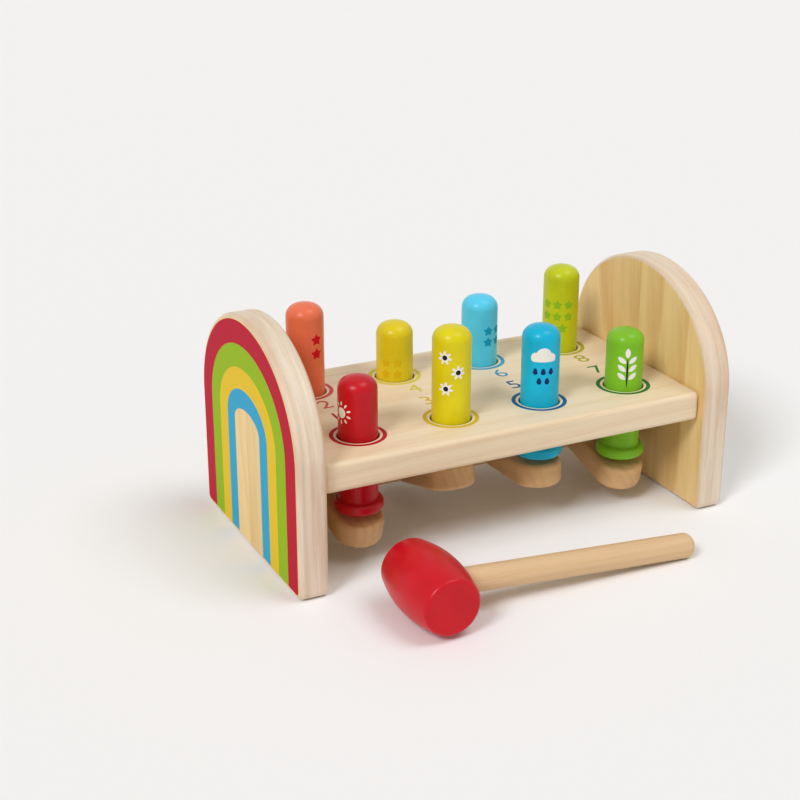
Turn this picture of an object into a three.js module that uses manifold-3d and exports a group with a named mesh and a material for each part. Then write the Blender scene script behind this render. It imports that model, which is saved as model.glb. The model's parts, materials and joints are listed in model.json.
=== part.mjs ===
import * as THREE from 'three';
import { mergeVertices } from 'three/addons/utils/BufferGeometryUtils.js';
import Module from 'manifold-3d';

// Wooden pounding bench with a loose hammer.
// Two arched end panels carry a plank with two rows of loose pegs. Each front peg and the rear peg
// behind it stand on one rocker, so a peg that is struck goes down and lifts its partner.
// Millimetres, +Z up, X along the bench, the player at -Y. The bench stands on Z = 0, and the origin
// is the middle of the footprint of the bench and the hammer that lies in front of it.

// Boards of the bench
const boardThickness = 18;
const boardEdgeRound = 3;
const plankLength = 250;
const plankDepth = 140;
const plankCornerRadius = 3.5;
const panelOverhang = 6; // of the end panels past the plank's long edges
const panelCornerRadius = 6;
const archRise = 66; // from the plank's top face to the crown of the end panel

// Pegs, in columns along the bench and in a front and a rear row
const pegColumns = 4;
const pegEndDistance = 35; // from the plank's end to the outer pegs' axes
const pegEdgeDistance = 32; // from the plank's long edge to the pegs' axes
const pegDiameter = 23;
const pegDomeHeight = 9;
const pegProud = 47.5; // above the plank when the pair is level
const pegTravel = 10.5; // up and down from level
const footDiameter = 29.5;
const footThickness = 7;
const footRound = 2.5;
const holeChamfer = 0.8;

// Rockers
const rockerWidth = 30;
const rockerThickness = 15;
const rockerEdgeRound = 3;
const rockerFloorGap = 9.5; // under the low end of a fully tilted rocker

// Tilt of each rocker at rest, as a share of full tilt: positive has the rear peg up
const restTiltShares = [0.95, -1, -0.2, 0.9];

// Axle, and the spacers between the rockers
const axleDiameter = 6;
const axleSeatDepth = 10;
const spacerDiameter = 12;
const axleChamfer = 0.6;

// Dowels between plank and end panels
const dowelDiameter = 8;
const dowelInPanel = 11;
const dowelInPlank = 18;
const dowelEdgeDistance = 14; // from the plank's long edge to the dowel's axis
const dowelChamfer = 1;

// Hammer
const headLength = 56;
const headBellyDiameter = 41;
const headEndDiameter = 34;
const headEdgeRound = 2.5;
const handleDiameter = 15;
const handleReach = 173; // from the head's axis to the handle's free end
const handleSeatDepth = 28; // from the belly into the head
const handleEndRound = 5;
const handleSeatChamfer = 1;
const hammerGap = 18; // between the end panels' front edges and the head
const hammerHeadX = -86;

// Clearances
const seatGap = 0.3; // between pieces that touch, seat or stop on each other
const pegHoleGap = 0.85; // radial, because the pegs are loose in the plank
const cutOvershoot = 1; // how far a cutter runs past the face that it opens

// Facets
const roundSteps = 2;
const pegSegments = 24;
const pegDomeSteps = 5;
const holeSegments = 24;
const archSegments = 30;
const endSegments = 8;
const cornerSegments = 2;
const axleSegments = 16;
const headSegments = 32;
const headBarrelSteps = 8;
const handleSegments = 20;
const mergeTolerance = 1e-4;

// Sizes that follow from the driving dimensions
const pegRadius = pegDiameter / 2;
const holeRadius = pegRadius + pegHoleGap;
const footFlatRadius = footDiameter / 2 - footRound;
const pegColumnPitch = (plankLength - 2 * pegEndDistance) / (pegColumns - 1);
const pegArm = plankDepth / 2 - pegEdgeDistance;
const fullTilt = Math.atan(pegTravel / pegArm);
const risePerRadian = pegTravel / fullTilt;
const rockerEndRadius = rockerWidth / 2;
const rockerReach = pegArm + rockerEndRadius;

// At full tilt the flat foot meets the rocker at the edge of its flat, with its rounded rim just clear
const footAbovePivot = (rockerThickness / 2 + seatGap) / Math.cos(fullTilt)
  + footFlatRadius * Math.tan(fullTilt)
  + footRound * (1 / Math.cos(fullTilt) - 1);

// Heights, from the floor up
const pivotHeight = rockerFloorGap
  + rockerReach * Math.sin(fullTilt)
  + rockerThickness / 2 * Math.cos(fullTilt);
const levelFootHeight = pivotHeight + footAbovePivot;
const plankUnderside = levelFootHeight + pegTravel + footThickness + seatGap;
const plankTop = plankUnderside + boardThickness;
const plankMiddle = (plankUnderside + plankTop) / 2;
const pegLength = plankTop + pegProud - levelFootHeight;

// Places along and across the bench
const panelDepth = plankDepth + 2 * panelOverhang;
const panelInnerX = plankLength / 2 + seatGap;
const dowelY = plankDepth / 2 - dowelEdgeDistance;
const hammerY = -(panelDepth / 2 + hammerGap + headLength / 2);
const footprintFront = hammerY - headLength / 2;
const footprintBack = panelDepth / 2;

// The head lies on its belly and the handle's free end touches the floor, so the handle slopes down
const handleRadius = handleDiameter / 2;
const bellyRadius = headBellyDiameter / 2;
const handleEndCentre = new THREE.Vector2(handleReach - handleEndRound, handleRadius - handleEndRound);
const handleSlope = Math.asin((bellyRadius - handleEndRound) / handleEndCentre.length())
  - handleEndCentre.angle();

const pine = new THREE.MeshStandardMaterial({ color: 0xe6cfa6, roughness: 0.55, metalness: 0 });
const beech = new THREE.MeshStandardMaterial({ color: 0xe0b884, roughness: 0.6, metalness: 0 });
const steel = new THREE.MeshStandardMaterial({ color: 0xb4b6b8, roughness: 0.35, metalness: 1 });
const hammerRed = new THREE.MeshStandardMaterial({ color: 0xc8182a, roughness: 0.35, metalness: 0 });
const pegColours = [0xbf1b26, 0xe0704c, 0xdccb18, 0xd6b626, 0x16a6d4, 0x58bcd8, 0x78b42c, 0xb4bc18];

const wasm = await Module();
wasm.setup();

// A closed solid from a geometry, without the slivers of no area that a revolve leaves on its axis
function solidFrom(geometry) {
  const bare = geometry.clone();
  bare.deleteAttribute('normal');
  bare.deleteAttribute('uv');
  const merged = mergeVertices(bare, mergeTolerance);
  const corners = merged.index.array;
  const triangles = [];
  for (let i = 0; i < corners.length; i += 3) {
    const [a, b, c] = corners.subarray(i, i + 3);
    if (a !== b && b !== c && c !== a) {
      triangles.push(a, b, c);
    }
  }
  return new wasm.Manifold(new wasm.Mesh({
    numProp: 3,
    vertProperties: merged.attributes.position.array,
    triVerts: Uint32Array.from(triangles),
  }));
}

function geometryFrom(solid) {
  const { vertProperties, triVerts } = solid.getMesh();
  const geometry = new THREE.BufferGeometry();
  geometry.setAttribute('position', new THREE.BufferAttribute(vertProperties, 3));
  geometry.setIndex(new THREE.BufferAttribute(triVerts, 1));
  geometry.computeVertexNormals();
  return geometry;
}

function cut(blank, cutters) {
  let solid = solidFrom(blank);
  for (const cutter of cutters) {
    solid = solid.subtract(solidFrom(cutter));
  }
  return geometryFrom(solid);
}

// Points of a quarter or other part of an ellipse, for a profile of radius and height
function arc(centre, radii, fromAngle, toAngle, steps) {
  const clockwise = toAngle < fromAngle;
  return new THREE.EllipseCurve(
    centre[0], centre[1], radii[0], radii[1], fromAngle, toAngle, clockwise,
  ).getPoints(steps);
}

// A profile of radius and height, listed upwards, turned about Z
function revolve(profile, segments) {
  const points = profile.map((point) => (Array.isArray(point) ? new THREE.Vector2(...point) : point));
  return new THREE.LatheGeometry(points, segments).rotateX(Math.PI / 2);
}

function cylinderAlongX(radius, fromX, toX, segments) {
  return new THREE.CylinderGeometry(radius, radius, toX - fromX, segments)
    .rotateZ(Math.PI / 2)
    .translate((fromX + toX) / 2, 0, 0);
}

// A round pin along X from 0 to its length, chamfered at both ends
function pinAlongX(radius, length, chamfer, segments) {
  const profile = [[0, 0], [radius - chamfer, 0], [radius, chamfer]];
  profile.push([radius, length - chamfer], [radius - chamfer, length], [0, length]);
  return revolve(profile, segments).rotateY(Math.PI / 2);
}

// A board of one outline with all its edges softened, from Z = 0 up
function softBoard(outline, thickness, edgeRound, curveSegments) {
  return new THREE.ExtrudeGeometry(outline, {
    depth: thickness - 2 * edgeRound,
    bevelEnabled: true,
    bevelThickness: edgeRound,
    bevelSize: edgeRound,
    bevelOffset: -edgeRound,
    bevelSegments: roundSteps,
    curveSegments,
  }).translate(0, 0, edgeRound);
}

function roundedRectangle(width, height, radius) {
  const right = width / 2;
  const top = height / 2;
  const quarter = Math.PI / 2;
  const outline = new THREE.Shape();
  outline.absarc(right - radius, top - radius, radius, 0, quarter);
  outline.absarc(radius - right, top - radius, radius, quarter, 2 * quarter);
  outline.absarc(radius - right, radius - top, radius, 2 * quarter, 3 * quarter);
  outline.absarc(right - radius, radius - top, radius, 3 * quarter, 4 * quarter);
  return outline;
}

// End panel with its inner face at X = 0 and its outer face on the -X side, standing on Z = 0
function endPanel() {
  const half = panelDepth / 2;
  const corner = panelCornerRadius;
  const outline = new THREE.Shape();
  outline.moveTo(-half, corner);
  outline.absarc(corner - half, corner, corner, Math.PI, 1.5 * Math.PI);
  outline.absarc(half - corner, corner, corner, 1.5 * Math.PI, 2 * Math.PI);
  const crown = new THREE.EllipseCurve(0, plankTop, half, archRise, 0, Math.PI);
  for (const point of crown.getPoints(archSegments)) {
    outline.lineTo(point.x, point.y);
  }
  const acrossToY = new THREE.Matrix4().makeBasis(
    new THREE.Vector3(0, 1, 0),
    new THREE.Vector3(0, 0, 1),
    new THREE.Vector3(1, 0, 0),
  );
  const board = softBoard(outline, boardThickness, boardEdgeRound, cornerSegments)
    .applyMatrix4(acrossToY)
    .translate(-boardThickness, 0, 0);

  const axleBore = cylinderAlongX(
    axleDiameter / 2 + seatGap, -(axleSeatDepth + seatGap), cutOvershoot, axleSegments,
  ).translate(0, 0, pivotHeight);
  const dowelBores = [-dowelY, dowelY].map((y) => cylinderAlongX(
    dowelDiameter / 2 + seatGap, -(dowelInPanel + seatGap), cutOvershoot, axleSegments,
  ).translate(0, y, plankMiddle));
  return cut(board, [axleBore, ...dowelBores]);
}

function columnX(column) {
  return (column - (pegColumns - 1) / 2) * pegColumnPitch;
}

// Plank with its underside at Z = 0
function benchTop() {
  const outline = roundedRectangle(plankLength, plankDepth, plankCornerRadius);
  const board = softBoard(outline, boardThickness, boardEdgeRound, cornerSegments);

  const flare = holeRadius + holeChamfer + cutOvershoot;
  const holeProfile = [[0, -cutOvershoot], [flare, -cutOvershoot], [holeRadius, holeChamfer]];
  holeProfile.push([holeRadius, boardThickness - holeChamfer], [flare, boardThickness + cutOvershoot]);
  holeProfile.push([0, boardThickness + cutOvershoot]);
  const cutters = [];
  for (let column = 0; column < pegColumns; column += 1) {
    for (const y of [-pegArm, pegArm]) {
      cutters.push(revolve(holeProfile, holeSegments).translate(columnX(column), y, 0));
    }
  }
  const boreRadius = dowelDiameter / 2 + seatGap;
  const boreEnd = plankLength / 2 - dowelInPlank - seatGap;
  for (const y of [-dowelY, dowelY]) {
    const rightBore = cylinderAlongX(boreRadius, boreEnd, plankLength / 2 + cutOvershoot, axleSegments)
      .translate(0, y, boardThickness / 2);
    cutters.push(rightBore, rightBore.clone().rotateZ(Math.PI).translate(0, 2 * y, 0));
  }
  return cut(board, cutters);
}

// Peg with its foot's underside at Z = 0
function peg() {
  const footRadius = footDiameter / 2;
  const quarter = Math.PI / 2;
  const shoulder = pegLength - pegDomeHeight;
  const profile = [
    [0, 0],
    ...arc([footFlatRadius, footRound], [footRound, footRound], -quarter, 0, roundSteps),
    ...arc([footFlatRadius, footThickness - footRound], [footRound, footRound], 0, quarter, roundSteps),
    [pegRadius, footThickness],
    ...arc([0, shoulder], [pegRadius, pegDomeHeight], 0, quarter, pegDomeSteps),
  ];
  profile[profile.length - 1].x = 0;
  return revolve(profile, pegSegments);
}

// Rocker centred on its pivot, level, with its length along Y
function rocker() {
  const outline = new THREE.Shape();
  outline.absarc(0, pegArm, rockerEndRadius, 0, Math.PI);
  outline.absarc(0, -pegArm, rockerEndRadius, Math.PI, 2 * Math.PI);
  const bar = softBoard(outline, rockerThickness, rockerEdgeRound, endSegments)
    .translate(0, 0, -rockerThickness / 2);
  const halfBore = rockerEndRadius + cutOvershoot;
  return cut(bar, [cylinderAlongX(axleDiameter / 2 + seatGap, -halfBore, halfBore, axleSegments)]);
}

// Tube on the axle from X = 0 to its length
function spacer(length) {
  const inner = axleDiameter / 2 + seatGap;
  const outer = spacerDiameter / 2;
  const profile = [[inner, 0], [outer, 0], [outer, length], [inner, length], [inner, 0]];
  return revolve(profile, axleSegments).rotateY(Math.PI / 2);
}

// Hammer head with its axis along Y and its middle at the origin, bored for the handle from +X
function hammerHead() {
  const half = headLength / 2;
  const endRadius = headEndDiameter / 2;
  const bulge = bellyRadius - endRadius;
  const quarter = Math.PI / 2;
  const rim = endRadius - headEdgeRound;
  const rimRadii = [headEdgeRound, headEdgeRound];
  const profile = [[0, -half], ...arc([rim, headEdgeRound - half], rimRadii, -quarter, 0, roundSteps)];
  for (let step = 1; step < headBarrelSteps; step += 1) {
    const along = 2 * step / headBarrelSteps - 1;
    profile.push([endRadius + bulge * (1 - along * along), along * (half - headEdgeRound)]);
  }
  profile.push(...arc([rim, half - headEdgeRound], rimRadii, 0, quarter, roundSteps));
  profile.push([0, half]);
  const barrel = revolve(profile, headSegments).rotateX(-Math.PI / 2);
  const boreEnd = bellyRadius - handleSeatDepth - seatGap;
  const boreMouth = bellyRadius + cutOvershoot;
  return cut(barrel, [cylinderAlongX(handleRadius + seatGap, boreEnd, boreMouth, handleSegments)]);
}

// Handle along X, in the place that it takes in the head
function hammerHandle() {
  const seatEnd = bellyRadius - handleSeatDepth;
  const quarter = Math.PI / 2;
  const profile = [
    [0, seatEnd],
    [handleRadius - handleSeatChamfer, seatEnd],
    [handleRadius, seatEnd + handleSeatChamfer],
    ...arc(
      [handleEndCentre.y, handleEndCentre.x], [handleEndRound, handleEndRound], 0, quarter, roundSteps + 1,
    ),
    [0, handleReach],
  ];
  return revolve(profile, handleSegments).rotateY(Math.PI / 2);
}

const toy = new THREE.Group();
toy.position.y = -(footprintFront + footprintBack) / 2;

function place(parent, name, geometry, material, x, y, z) {
  const mesh = new THREE.Mesh(geometry, material);
  mesh.name = name;
  mesh.position.set(x, y, z);
  parent.add(mesh);
  return mesh;
}

// Bench frame
place(toy, 'left_end_panel', endPanel(), pine, -panelInnerX, 0, 0);
place(toy, 'right_end_panel', endPanel(), pine, panelInnerX, 0, 0).rotation.z = Math.PI;
place(toy, 'bench_top', benchTop(), pine, 0, 0, plankUnderside);

const dowelLength = dowelInPanel + seatGap + dowelInPlank;
const dowelEndX = panelInnerX + dowelInPanel;
const dowel = pinAlongX(dowelDiameter / 2, dowelLength, dowelChamfer, axleSegments);
[-dowelY, dowelY].forEach((y, row) => {
  place(toy, `plank_dowel_${row + 1}`, dowel, beech, -dowelEndX, y, plankMiddle);
  place(toy, `plank_dowel_${row + 3}`, dowel, beech, dowelEndX - dowelLength, y, plankMiddle);
});

// Axle and the spacers that fill the stretches beside the rockers
const axleReach = panelInnerX + axleSeatDepth;
const axle = pinAlongX(axleDiameter / 2, 2 * axleReach, axleChamfer, axleSegments);
place(toy, 'rocker_axle', axle, steel, -axleReach, 0, pivotHeight);
for (let slot = 0; slot <= pegColumns; slot += 1) {
  const start = slot === 0 ? -panelInnerX : columnX(slot - 1) + rockerEndRadius;
  const end = slot === pegColumns ? panelInnerX : columnX(slot) - rockerEndRadius;
  const tube = spacer(end - start - 2 * seatGap);
  place(toy, `axle_spacer_${slot + 1}`, tube, beech, start + seatGap, 0, pivotHeight);
}

// Rockers with the two pegs that stand on each, at the tilt of the rest pose
for (let column = 0; column < pegColumns; column += 1) {
  const tilt = restTiltShares[column] * fullTilt;
  const rise = risePerRadian * tilt;
  const x = columnX(column);
  place(toy, `rocker_${column + 1}`, rocker(), beech, x, 0, pivotHeight).rotation.x = tilt;
  [-1, 1].forEach((side, row) => {
    const number = 2 * column + row;
    const color = pegColours[number];
    const paint = new THREE.MeshStandardMaterial({ color, roughness: 0.4, metalness: 0 });
    const footHeight = levelFootHeight + side * rise;
    place(toy, `peg_${number + 1}`, peg(), paint, x, side * pegArm, footHeight);
  });
}

// Hammer on the floor in front of the bench
const hammer = new THREE.Group();
hammer.position.set(hammerHeadX, hammerY, bellyRadius);
hammer.rotation.y = handleSlope;
place(hammer, 'hammer_head', hammerHead(), hammerRed, 0, 0, 0);
place(hammer, 'hammer_handle', hammerHandle(), beech, 0, 0, 0);
toy.add(hammer);

export default toy;
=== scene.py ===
"""Pine pounding bench with painted pegs on rockers, printed boards and pegs, and a loose red hammer."""

import json
import math

import bmesh
import bpy
from mathutils import Euler, Matrix, Vector


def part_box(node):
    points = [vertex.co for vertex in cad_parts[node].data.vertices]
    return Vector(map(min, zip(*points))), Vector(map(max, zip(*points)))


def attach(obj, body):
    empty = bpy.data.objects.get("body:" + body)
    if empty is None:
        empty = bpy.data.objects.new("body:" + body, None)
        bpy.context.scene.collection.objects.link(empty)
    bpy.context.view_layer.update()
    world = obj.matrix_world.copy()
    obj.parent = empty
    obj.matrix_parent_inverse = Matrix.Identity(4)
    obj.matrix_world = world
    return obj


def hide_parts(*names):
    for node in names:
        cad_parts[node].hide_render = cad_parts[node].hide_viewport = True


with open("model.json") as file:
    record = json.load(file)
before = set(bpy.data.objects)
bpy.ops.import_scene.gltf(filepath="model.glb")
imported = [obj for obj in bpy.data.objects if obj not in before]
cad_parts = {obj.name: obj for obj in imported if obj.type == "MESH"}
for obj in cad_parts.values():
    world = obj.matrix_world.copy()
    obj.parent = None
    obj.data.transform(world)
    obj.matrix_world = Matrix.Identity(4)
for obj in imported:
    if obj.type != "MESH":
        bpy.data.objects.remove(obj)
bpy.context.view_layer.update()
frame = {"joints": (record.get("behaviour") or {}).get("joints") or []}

MM = 0.001

# Boards
BOARD_EDGE = 3.0 * MM
PANEL_CORNER = 6.0 * MM
PLANK_CORNER = 3.5 * MM
HOLE_RADIUS = 12.35 * MM
HOLE_EDGE = 0.8 * MM
STAVE_WIDTH = 76.0 * MM
GLUE_HALF_WIDTH = 0.5 * MM

# Pegs
PEG_PAIRS = 4
PEG_RADIUS = 11.5 * MM
PEG_ROUND = 7.5 * MM
PEG_CROWN = 18.0 * MM
PEG_TOP_GAP = 0.7 * MM  # the crown is flatter than the solid's dome, so it lies a little lower
FOOT_RADIUS = 14.75 * MM
FOOT_HEIGHT = 7.0 * MM
FOOT_EDGE = 2.5 * MM
FOOT_FILLET = 0.7 * MM

# Rockers, axle and dowels
ROCKER_EDGE = 3.0 * MM
ROCKER_HALF_WIDTH = 15.0 * MM
ROCKER_ARM = 38.0 * MM
ROCKER_THICKNESS = 15.0 * MM
AXLE_RADIUS = 3.0 * MM
AXLE_CHAMFER = 0.6 * MM
SPACER_RADIUS = 6.0 * MM
SPACER_EDGE = 0.5 * MM
DOWELS = 4
DOWEL_RADIUS = 4.0 * MM
DOWEL_CHAMFER = 1.0 * MM
SEAT_GAP = 0.3 * MM
CUT_OVERSHOOT = 1.0 * MM

# Hammer
HEAD_LENGTH = 56.0 * MM
HEAD_BELLY = 20.5 * MM
HEAD_END = 17.0 * MM
HEAD_EDGE = 2.5 * MM
HEAD_EDGE_START = 16  # degrees up from the side, where the softened rim leaves the barrel's curve
HANDLE_RADIUS = 7.5 * MM
HANDLE_REACH = 173.0 * MM
HANDLE_SEAT = 28.0 * MM
HANDLE_ROUND = 5.0 * MM
HANDLE_CHAMFER = 1.0 * MM

# Printing: a film that stands on the surface and is let into it, so that it has no gap under it
INK_PROUD = 0.05 * MM
INK_SUNK = 0.05 * MM
SECOND_INK = 0.04 * MM
PRINT_MARGIN = 3.2 * MM

# Rings round the peg holes, and numbers between the rows of holes
RING_INNER = 14.2 * MM
RING_OUTER = 16.7 * MM
DIGIT_SIZE = 17.5 * MM
FRONT_DIGIT_OFFSET = Vector((-0.6 * MM, 29.0 * MM))
REAR_DIGIT_OFFSET = Vector((1.4 * MM, -26.3 * MM))

# Nested arches on the left end panel: each band's colour, and how far inside the panel's outline it ends
ARCH_BANDS = {
    "crimson": ((188, 8, 46), 17.5 * MM),
    "lime": ((150, 186, 14), 31.5 * MM),
    "yellow": ((232, 196, 40), 44.5 * MM),
    "sky": ((52, 166, 206), 56.5 * MM),
}

# Dots of two sizes in staggered rows on the right end panel, over a white ground
GROUND_WHITE = (238, 236, 228)
DOT_PITCH = 23.0 * MM
DOT_ROWS = 6
DOT_COLUMNS = 7
DOT_RADII = (7.2 * MM, 3.6 * MM)
DOT_MARGIN = 6.0 * MM
DOT_INKS = {
    "crimson": (190, 20, 52),
    "lime": (150, 184, 30),
    "yellow": (232, 196, 40),
    "blue": (24, 140, 196),
}

# Stars on the rear pegs, as many as the peg's number: the print's middle in degrees round from the player's
# side, the first row's depth below the top, the distance between rows, a star's radius, the stars in each
# row and their colour
STAR_PRINTS = {
    2: (14.0, 21.4 * MM, 8.9 * MM, 4.0 * MM, (1, 1), (208, 18, 34)),
    4: (-35.0, 25.0 * MM, 7.2 * MM, 3.4 * MM, (2, 2), (217, 183, 16)),
    6: (38.0, 21.9 * MM, 7.4 * MM, 3.5 * MM, (3, 3), (12, 154, 192)),
    8: (-42.0, 24.7 * MM, 7.9 * MM, 3.5 * MM, (3, 3, 2), (146, 190, 34)),
}
STAR_COLUMN = 37.0
STAR_POINTS = 5
STAR_WAIST = 0.56
STAR_BLUNT = 0.94

# Motifs on the front pegs, as many as the peg's number too: one sun, three daisies, five drops, seven leaves.
# A place is in degrees round from the player's side, and in depth below the top. Columns, the leaves' turn
# and their distance aside are in degrees, and the other plain numbers are shares.
MOTIF_WHITE = (240, 238, 232)
MOTIF_DARK = (30, 32, 44)
MOTIF_NAVY = (22, 48, 110)
SUN_PLACE = (-78.0, 21.0 * MM)
SUN_RADIUS = 3.2 * MM
SUN_RAYS = 10
RAY_SIZE = (2.8 * MM, 1.2 * MM)
RAY_DISTANCE = 5.6 * MM
DAISY_PLACES = ((-48.0, 17.0 * MM), (-8.0, 26.0 * MM), (-44.0, 36.0 * MM))
DAISY_RADIUS = 4.4 * MM
DAISY_HEART = 1.5 * MM
DAISY_PETALS = 7
PETAL_DEPTH = 0.26
CLOUD_PLACE = (-22.0, 18.0 * MM)
CLOUD_SIZE = 8.0 * MM
CLOUD_HUMPS = ((-0.55, -0.05, 0.42), (0.02, 0.15, 0.58), (0.6, -0.08, 0.38))
CLOUD_FLOOR = 0.36
RAIN_ROWS = (3, 2)
RAIN_COLUMN = 24.0
RAIN_START = 9.5 * MM
RAIN_PITCH = 6.0 * MM
DROP_RADIUS = 1.5 * MM
DROP_POINT = 0.8
DROP_SHARPNESS = 6
SPRIG_PLACE = (-24.0, 13.5 * MM)
TIP_LEAF = (6.2 * MM, 3.2 * MM)
SIDE_LEAF = (6.2 * MM, 3.0 * MM)
LEAF_PAIRS = 3
LEAF_TURN = 52
LEAF_ASIDE = 17.0
LEAF_START = 4.6 * MM
LEAF_PITCH = 5.2 * MM
LEAF_SHARPNESS = 1.5
STEM_SIZE = (20.0 * MM, 1.1 * MM)
STEM_DEPTH = 12.5 * MM

# Colours, as display values from 0 to 255
PEG_PAINTS = {
    1: ("peg_paint_red", (192, 12, 28)),
    2: ("peg_paint_coral", (234, 116, 80)),
    3: ("peg_paint_yellow", (222, 208, 10)),
    4: ("peg_paint_amber", (224, 202, 26)),
    5: ("peg_paint_blue", (6, 182, 220)),
    6: ("peg_paint_sky", (86, 206, 238)),
    7: ("peg_paint_green", (126, 192, 34)),
    8: ("peg_paint_lime", (196, 204, 20)),
}
PLANK_INKS = {
    1: (178, 24, 38),
    2: (196, 84, 74),
    3: (206, 176, 36),
    4: (208, 194, 74),
    5: (6, 94, 140),
    6: (66, 152, 184),
    7: (46, 116, 46),
    8: (172, 164, 40),
}
HAMMER_RED = (202, 12, 30)

# Mesh resolution
LATHE_SEGMENTS = 96
PIN_SEGMENTS = 48
EDGE_STEPS = 6
CORNER_STEPS = 10
CROWN_STEPS = 96
RIM_STEPS = 4
ROCKER_END_STEPS = 32
PEG_ROUND_STEPS = 14
PEG_CROWN_STEPS = 6
BARREL_STEPS = 28
HANDLE_ROUND_STEPS = 10
DOT_STEPS = 48
DISC_STEPS = 32
LEAF_STEPS = 40
DROP_STEPS = 40
CLOUD_STEPS = 72
POINT_STEPS = 12
PATCH_RINGS = 4
ON_AXIS = 1e-7
SMOOTH_ANGLE = math.radians(35)

# Places that come from the frame
PANEL_LOW, PANEL_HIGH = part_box("left_end_panel")
RIGHT_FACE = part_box("right_end_panel")[1].x
PLANK_LOW, PLANK_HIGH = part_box("bench_top")
AXLE_LOW, AXLE_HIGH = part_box("rocker_axle")
PANEL_HALF = (PANEL_HIGH.y - PANEL_LOW.y) / 2
BENCH_Y = (PANEL_HIGH.y + PANEL_LOW.y) / 2
PLANK_TOP = PLANK_HIGH.z
PIVOT_Z = (AXLE_LOW.z + AXLE_HIGH.z) / 2
ARCH_RISE = PANEL_HIGH.z - PLANK_TOP


# Mesh helpers

def arc(centre, radii, start, end, steps):
    """Points and outward normals along an ellipse between two angles in degrees, both ends included."""
    pairs = []
    for step in range(steps + 1):
        angle = math.radians(start + (end - start) * step / steps)
        across, up = math.cos(angle), math.sin(angle)
        point = Vector((centre[0] + radii[0] * across, centre[1] + radii[1] * up))
        normal = Vector((radii[1] * across, radii[0] * up)).normalized()
        pairs.append((point, normal))
    return pairs


def ellipse_points(centre, radii, start, end, steps):
    """Plain (x, y) points of an ellipse's arc."""
    return [tuple(point) for point, _ in arc(centre, radii, start, end, steps)]


def arc_points(centre, radius, start, end, steps):
    """Plain (x, y) points of a circle's arc."""
    return ellipse_points(centre, (radius, radius), start, end, steps)


def rounded_rectangle(half_width, half_depth, radius):
    """Counter-clockwise outline of points and normals."""
    x, y = half_width - radius, half_depth - radius
    outline = []
    for turn, corner in enumerate(((x, y), (-x, y), (-x, -y), (x, -y))):
        outline += arc(corner, (radius, radius), 90 * turn, 90 * turn + 90, CORNER_STEPS)
    return outline


def spread(count, step):
    """Offsets of a row of places from the row's middle."""
    return [(i - (count - 1) / 2) * step for i in range(count)]


def ring_points(radius, height, segments):
    angles = [2 * math.pi * i / segments for i in range(segments)]
    return [(radius * math.cos(angle), radius * math.sin(angle), height) for angle in angles]


def revolve(profile, closed=False, segments=LATHE_SEGMENTS):
    """Body of revolution about Z from (radius, height) points that run counter-clockwise."""
    bm = bmesh.new()
    rings = []
    for radius, height in profile:
        points = [(0, 0, height)] if radius < ON_AXIS else ring_points(radius, height, segments)
        rings.append([bm.verts.new(point) for point in points])
    following = rings[1:] + rings[:1] if closed else rings[1:]
    for lower, upper in zip(rings, following):
        for i in range(segments):
            j = (i + 1) % segments
            corners = [lower[i % len(lower)], lower[j % len(lower)]]
            corners += [upper[j % len(upper)], upper[i % len(upper)]]
            bm.faces.new(dict.fromkeys(corners))
    return bm


def edge_rows(thickness, radius):
    """(inset, height) rows that round both edges of a board, from its lower face to its upper one."""
    lower = []
    for step in range(EDGE_STEPS + 1):
        angle = math.pi / 2 * step / EDGE_STEPS
        lower.append((radius * (1 - math.sin(angle)), radius * (1 - math.cos(angle))))
    return lower + [(inset, thickness - height) for inset, height in reversed(lower)]


def join_rings(bm, lower, upper):
    """Band of faces between two closed rings of as many points."""
    for i, start in enumerate(lower):
        j = (i + 1) % len(lower)
        bm.faces.new((start, lower[j], upper[j], upper[i]))


def soft_board(outline, thickness, radius):
    """Board over a counter-clockwise outline, from Z = 0 up, with all its edges rounded."""
    bm = bmesh.new()
    rings = []
    for inset, height in edge_rows(thickness, radius):
        rings.append([bm.verts.new((*(point - normal * inset), height)) for point, normal in outline])
    bm.faces.new(reversed(rings[0]))
    bm.faces.new(rings[-1])
    for lower, upper in zip(rings, rings[1:]):
        join_rings(bm, lower, upper)
    return bm


def moved(bm, matrix):
    bm.transform(matrix)
    return bm


def along_x(x=0.0, y=0.0, z=0.0):
    """Turns a body of revolution from the Z axis to the X axis, and moves it."""
    return Matrix.Translation((x, y, z)) @ Matrix.Rotation(math.pi / 2, 4, "Y")


def new_object(name, data):
    """Object in the scene for a mesh, a text, a lamp or a camera."""
    made = bpy.data.objects.new(name, data)
    bpy.context.scene.collection.objects.link(made)
    return made


def plain_object(name, bm):
    mesh = bpy.data.meshes.new(name)
    bmesh.ops.recalc_face_normals(bm, faces=bm.faces)
    bm.to_mesh(mesh)
    bm.free()
    return new_object(name, mesh)


def final_mesh(made):
    """New mesh of an object as it looks with its modifiers or its letters worked out."""
    depsgraph = bpy.context.evaluated_depsgraph_get()
    return bpy.data.meshes.new_from_object(made.evaluated_get(depsgraph))


def carve(piece, cutters):
    """Cuts each cutter's body out of the piece, in the piece's own coordinates."""
    for bm in cutters:
        cutter = plain_object("cutter", bm)
        cutter.matrix_world = piece.matrix_world
        cut = piece.modifiers.new("cut", "BOOLEAN")
        cut.operation = "DIFFERENCE"
        cut.solver = "EXACT"
        cut.object = cutter
        result = final_mesh(piece)
        piece.modifiers.clear()
        old = piece.data
        piece.data = result
        bpy.data.meshes.remove(old)
        bpy.data.objects.remove(cutter)


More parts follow.
